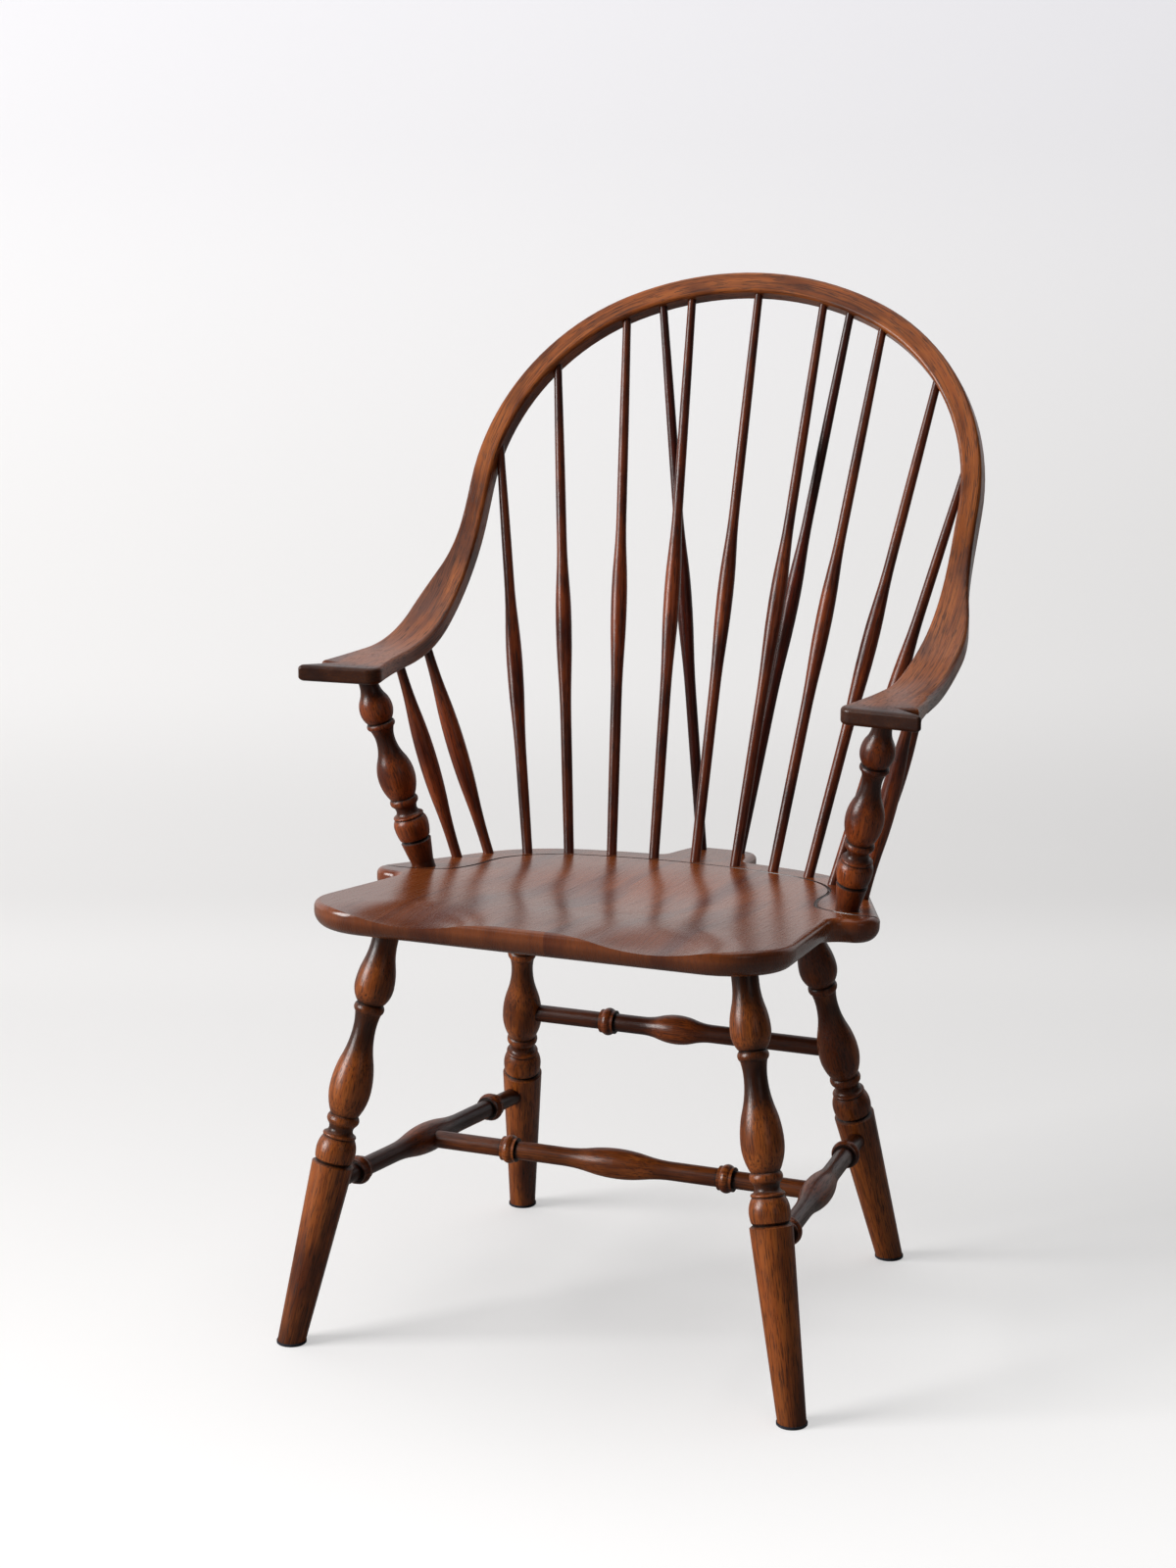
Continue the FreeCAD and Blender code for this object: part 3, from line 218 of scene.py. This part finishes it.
def straight_grain(node):
    """Grain that runs along the piece: its axis is turned onto Z and its middle onto the origin."""
    middle, direction = long_axis(node)
    turn = direction.rotation_difference(Vector((0, 0, 1)))

    def grain(place):
        centred = {"Rotation": turn.to_euler(), "Location": -(turn @ middle), "Vector": place}
        return place.node("Mapping", {}, centred)

    return grain


def glazed_and_shaded_necks(neck, belly):
    """Pale on the bellies and dark at the necks, judged by the radius of each: glaze left in the necks, with
    painted shade in their hollows.
    """

    def wipe_and_shade(place, fibre):
        across, through, along = fibre.axes()
        return across.maths("SQRT", across * across + through * through).rise(neck, belly)

    return wipe_and_shade


def dress_turned(nodes, glaze, middle, light, neck, belly, seed):
    """Give each turned piece wood of its own."""
    neck_glaze_and_shade = glazed_and_shaded_necks(neck, belly)
    for number, node in enumerate(nodes):
        grain = straight_grain(node)
        wood = stained_wood(f"{node}_wood", grain, neck_glaze_and_shade, glaze, middle, light, seed + number)
        dress(node, wood)


leg_glaze = stain(32, 13, 7)
leg_middle = stain(136, 62, 24)
leg_light = stain(166, 90, 38)
legs = ("leg_front_right", "leg_front_left", "leg_rear_right", "leg_rear_left")
leg_stains = (leg_glaze, leg_middle, leg_light)
dress_turned(legs, *leg_stains, neck=0.0105, belly=0.0175, seed=11.0)


# Glides: thin round pads of dark moulded rubber, pinned under the level feet so that they don't mark a
# floor. They are matt, and speckled with a little dust.
rubber = stain(22, 24, 36)
dust = stain(52, 52, 60)
rubber_roughness = 0.62
dust_roughness = 0.2
glides = ("foot_glide_front_right", "foot_glide_front_left", "foot_glide_rear_right", "foot_glide_rear_left")
for node in glides:
    pad = bpy.data.materials.new(f"{node}_rubber")
    pad.use_nodes = True
    pad_shader = pad.node_tree.nodes["Principled BSDF"]
    place = Finish(pad.node_tree).node("TexCoord", {}, {}, "Object")
    speckle = place.node("TexNoise", {}, {"Vector": place, "Scale": 420.0, "Detail": 3.0})
    dusty = place.blend(rubber, dust, speckle.rise(low=0.45, high=0.75))
    grip = place.node("Bump", {}, {"Strength": 0.3, "Distance": 0.0004, "Height": speckle})
    rough = rubber_roughness + dust_roughness * speckle
    for socket, value in (("Base Color", dusty), ("Roughness", rough), ("Normal", grip)):
        pad.node_tree.links.new(value.socket, pad_shader.inputs[socket])
    dress(node, pad)


# Stretchers: turned rails that tie the legs: one on each side, one between those two, and one behind.
# Each has a long swelling between two ringed beads, and round ends glued into the legs.
# The side and rear rails take darker stains than the legs, as painted shade under the seat; the medial rail
# takes the legs' stains.
rail_glaze = stain(40, 17, 10)
shaded_rail_middle = stain(80, 34, 18)
shaded_rail_light = stain(138, 68, 28)
rails = ("stretcher_side_right", "stretcher_side_left", "stretcher_rear")
dress_turned(rails, rail_glaze, shaded_rail_middle, shaded_rail_light, neck=0.008, belly=0.0145, seed=21.0)
medial = ("stretcher_medial",)
dress_turned(medial, rail_glaze, leg_middle, leg_light, neck=0.006, belly=0.014, seed=26.0)


# Back spindles: slender rods with a swelling a little below the middle, shaved thin at both ends, which
# stand in the seat and run up into blind holes in the bow.
spindle_glaze = stain(30, 11, 8)
spindle_middle = stain(98, 35, 17)
spindle_light = stain(144, 68, 31)
back_spindles = ["back_spindle_centre"]
for number in range(1, 5):
    back_spindles += [f"back_spindle_right_{number}", f"back_spindle_left_{number}"]
spindle_stains = (spindle_glaze, spindle_middle, spindle_light)
dress_turned(back_spindles, *spindle_stains, neck=0.001, belly=0.0085, seed=41.0)


# Brace spindles: two more rods, from the tail of the seat up into the bow, crossing behind the others
# to stiffen the back. They stand in shade, and their wood is a darker copy of the spindles' that paints that
# shade in.
shaded_brace_middle = stain(76, 31, 18)
brace_spindles = ("brace_spindle_right", "brace_spindle_left")
shaded_brace_stains = (spindle_glaze, shaded_brace_middle, spindle_middle)
dress_turned(brace_spindles, *shaded_brace_stains, neck=0.001, belly=0.0085, seed=61.0)


# Arm supports: under each arm a turned post like a short leg, and two plain swelling rods behind it,
# all leaning outwards from the seat into holes under the arm.
post_glaze = stain(30, 12, 7)
post_middle = stain(114, 45, 18)
post_light = stain(156, 76, 31)
posts = ("arm_post_right", "arm_post_left")
dress_turned(posts, post_glaze, post_middle, post_light, neck=0.010, belly=0.019, seed=71.0)
short_spindles = []
for side in ("right", "left"):
    short_spindles += [f"short_spindle_{side}_front", f"short_spindle_{side}_rear"]
dress_turned(short_spindles, *spindle_stains, neck=0.002, belly=0.010, seed=81.0)


# Bow and arms: one length of straight-grained wood, steamed and bent over a form into the arch of the
# back and then forward into both arms. The grain follows every bend.
bow_crown_height = 1.025
bow_crown_back = 0.318
bow_rake = math.radians(29.6)
bow_half_width = 0.265
bow_crown_radius = 0.315
bow_turn = math.radians(25.2)
bow_side_radius = (bow_half_width - bow_crown_radius * math.sin(bow_turn)) / (1 - math.sin(bow_turn))
bend_centre_back = -0.031
bend_centre_height = 0.893


def bent_grain(place):
    """Grain along the bow: how far out from its inside, how far through it, and how far from the crown."""
    across, back, up = place.axes()
    side_centre = bow_half_width - bow_side_radius
    side_rise = (bow_crown_radius - bow_side_radius) * math.cos(bow_turn)

    def distance(first, second):
        return across.maths("SQRT", first * first + second * second)

    def beyond(run):
        return across.maths("MAXIMUM", run, 0.0)

    fall = (back - bow_crown_back) * math.sin(bow_rake) + (up - bow_crown_height) * math.cos(bow_rake)
    rise = fall + bow_crown_radius
    out = across.maths("ABSOLUTE", across)
    round_side = distance(out - side_centre, beyond(rise - side_rise)) - bow_side_radius
    round_crown = distance(across, rise) - bow_crown_radius
    in_crown = across.maths("LESS_THAN", out, rise * math.tan(bow_turn))
    outward = round_side + in_crown * (round_crown - round_side)

    behind = back - bend_centre_back
    above = up - bend_centre_height
    up_bow = beyond(behind * math.sin(bow_rake) + above * math.cos(bow_rake))
    down_arm = beyond(0.0 - behind)
    through = distance(behind, above)
    through = across.maths("SQRT", through * through - up_bow * up_bow - down_arm * down_arm)
    turned = bow_crown_radius * across.maths("ARCTAN2", across, rise)
    return place.together(outward, through, turned + across.maths("SIGN", across) * down_arm)


hand_front = 0.135
hand_inside = 0.243
hand_slant = 0.095
arm_bare = 0.92
arch_barer = 0.08


def bare_bow_shaded_hands(place, fibre):
    """Polish has darkened the arms a little. The hands are darkest at the front: painted shade on their
    front faces, with the end grain there taking more stain.
    """
    across, back, up = place.axes()
    behind_front = back + hand_front + hand_slant * (across.maths("ABSOLUTE", across) - hand_inside)
    polished = arm_bare + arch_barer * up.rise(low=0.74, high=0.92)
    # Painted shade and end grain stain: the front of each hand is darkest.
    return polished * behind_front.rise(low=0.001, high=0.030)


bow_glaze = stain(32, 12, 6)
bow_middle = stain(134, 64, 26)
bow_light = stain(160, 88, 38)
bow_stains = (bow_glaze, bow_middle, bow_light)
bow_wood = stained_wood("bow_wood", bent_grain, bare_bow_shaded_hands, *bow_stains, seed=31.0, figure=1.0, polish=0.04)
dress("continuous_arm_bow", bow_wood)


# Floor and backdrop: one sheet of pale paper that lies under the chair and sweeps up behind it, square
# to the view. It isn't part of the object, and is clear from behind so that the back can be seen.
view_turn = math.radians(22.64)
floor_front = -4.5
floor_back = 2.1
wall_height = 4.0
half_span = 5.0
sweep_radius = 1.1
bpy.ops.object.select_all(action="DESELECT")
bpy.ops.mesh.primitive_plane_add(size=1.0)
paper = bpy.context.object
paper.name = "backdrop"
bpy.ops.object.mode_set(mode="EDIT")
bpy.ops.transform.resize(value=(2 * half_span, floor_back - floor_front, 1.0))
bpy.ops.transform.translate(value=(0.0, (floor_back + floor_front) / 2, 0.0))
bpy.ops.mesh.select_all(action="DESELECT")
bpy.ops.object.mode_set(mode="OBJECT")
for edge in paper.data.edges:
    ends = [paper.data.vertices[index].co.y for index in edge.vertices]
    edge.select = min(ends) > floor_back - 0.01
bpy.ops.object.mode_set(mode="EDIT")
bpy.ops.mesh.select_mode(type="EDGE")
bpy.ops.mesh.extrude_region_move(TRANSFORM_OT_translate={"value": (0.0, 0.0, wall_height)})
bpy.ops.object.mode_set(mode="OBJECT")
sweep = paper.modifiers.new("sweep", "BEVEL")
sweep.width = sweep_radius
sweep.segments = 24
bpy.ops.object.modifier_apply(modifier="sweep")
bpy.ops.object.shade_smooth()
paper.rotation_euler = (0.0, 0.0, view_turn)
bpy.ops.object.transform_apply(location=False, rotation=True, scale=False)
paper_finish = bpy.data.materials.new("pale_paper")
paper_finish.use_nodes = True
paper_shader = paper_finish.node_tree.nodes["Principled BSDF"]
ray = Finish(paper_finish.node_tree).node("LightPath", {}, {}, "Is Camera Ray")
across, back, up = ray.node("TexCoord", {}, {}, "Object").axes()
mirrored = ray.node("LightPath", {}, {}, "Is Glossy Ray") * up.rise(low=0.05, high=0.40)
seen = ray.maths("MAXIMUM", ray, mirrored)
rightward = across * math.cos(view_turn) + back * math.sin(view_turn)
forward = across * math.sin(view_turn) - back * math.cos(view_turn)
horizon = up.rise(low=0.005, high=0.07) * up.rise(low=0.32, high=0.12)
# Painted light on the paper, seen by the camera and in reflections: it glows brighter up the wall and
# towards the front, with painted shade along the horizon and a little to the right, and a cool tint high on
# the wall.
floor_glow = 0.34
wall_brighter = 0.11
front_brighter = 0.27
horizon_painted_shade = 0.08
right_painted_shade = 0.03
wall_bluer = 0.035
painted_light_level = floor_glow + wall_brighter * up.rise(low=0.3, high=1.1)
painted_light_level = painted_light_level + front_brighter * forward.rise(low=-0.9, high=1.4) - horizon_painted_shade * horizon
glow = painted_light_level * (1.0 - right_painted_shade * rightward.rise(low=-0.9, high=1.3)) * seen
cool = glow + wall_bluer * up.rise(low=0.4, high=1.6) * seen
paper_glow = ray.together(glow, glow, cool)
paper_finish.node_tree.links.new(paper_glow.socket, paper_shader.inputs["Emission Color"])
paper_shader.inputs["Emission Strength"].default_value = 1.0
# Seen by the camera the paper is paler than for the light it passes on, which brightens it as painted light.
paper_colour = ray.blend(stain(140, 139, 138), stain(200, 198, 197), ray)
paper_finish.node_tree.links.new(paper_colour.socket, paper_shader.inputs["Base Color"])
paper_front = 1 - ray.node("NewGeometry", {}, {}, "Backfacing")
paper_finish.node_tree.links.new(paper_front.socket, paper_shader.inputs["Alpha"])
paper_shader.inputs["Roughness"].default_value = 0.85
paper_shader.inputs["Specular IOR Level"].default_value = 0.15
paper.data.materials.append(paper_finish)


# Light: a tall window on the left, a broad soft light overhead and a weak one from the right, with a
# little light from all round.
def soft_light(name, place, aim, width, height, power):
    lamp = bpy.data.lights.new(name, "AREA")
    lamp.shape = "RECTANGLE"
    lamp.size = width
    lamp.size_y = height
    lamp.energy = power
    holder = bpy.data.objects.new(name, lamp)
    holder.location = place
    holder.rotation_euler = (Vector(aim) - Vector(place)).to_track_quat("-Z", "Y").to_euler()
    bpy.context.scene.collection.objects.link(holder)


chair_middle = (0.0, 0.0, 0.6)
soft_light("window", (-5.1, -4.0, 2.9), chair_middle, width=3.2, height=3.4, power=510.0)
soft_light("overhead", (-0.5, 0.2, 3.6), (-0.3, 0.2, 0.0), width=4.0, height=4.0, power=65.0)
soft_light("fill", (3.2, -2.6, 1.6), chair_middle, width=1.8, height=1.8, power=4.0)
world = bpy.data.worlds.new("studio")
world.use_nodes = True
sky = world.node_tree.nodes["Background"]
sky.inputs["Color"].default_value = (0.95, 0.97, 1.0, 1.0)
all_round = 0.06
seen_brighter = 0.80
sky_ray = Finish(world.node_tree).node("LightPath", {}, {}, "Is Camera Ray")
sky_level = all_round + seen_brighter * sky_ray
world.node_tree.links.new(sky_level.socket, sky.inputs["Strength"])
bpy.context.scene.world = world


# Camera: at the height of a standing viewer's chest, in front of the chair and to its right. It looks
# down a little through a long lens.
eye = bpy.data.cameras.new("eye")
eye.sensor_fit = "VERTICAL"
eye.sensor_height = 36.0
eye.lens = 79.45
eye.clip_end = 50.0
stand = bpy.data.objects.new("eye", eye)
stand.location = (1.2771, -3.2289, 1.3403)
look_down = 12.98
stand.rotation_euler = (math.radians(90.0 - look_down), 0.0, view_turn)
bpy.context.scene.collection.objects.link(stand)
bpy.context.scene.camera = stand
bpy.context.scene.view_settings.view_transform = "Standard"
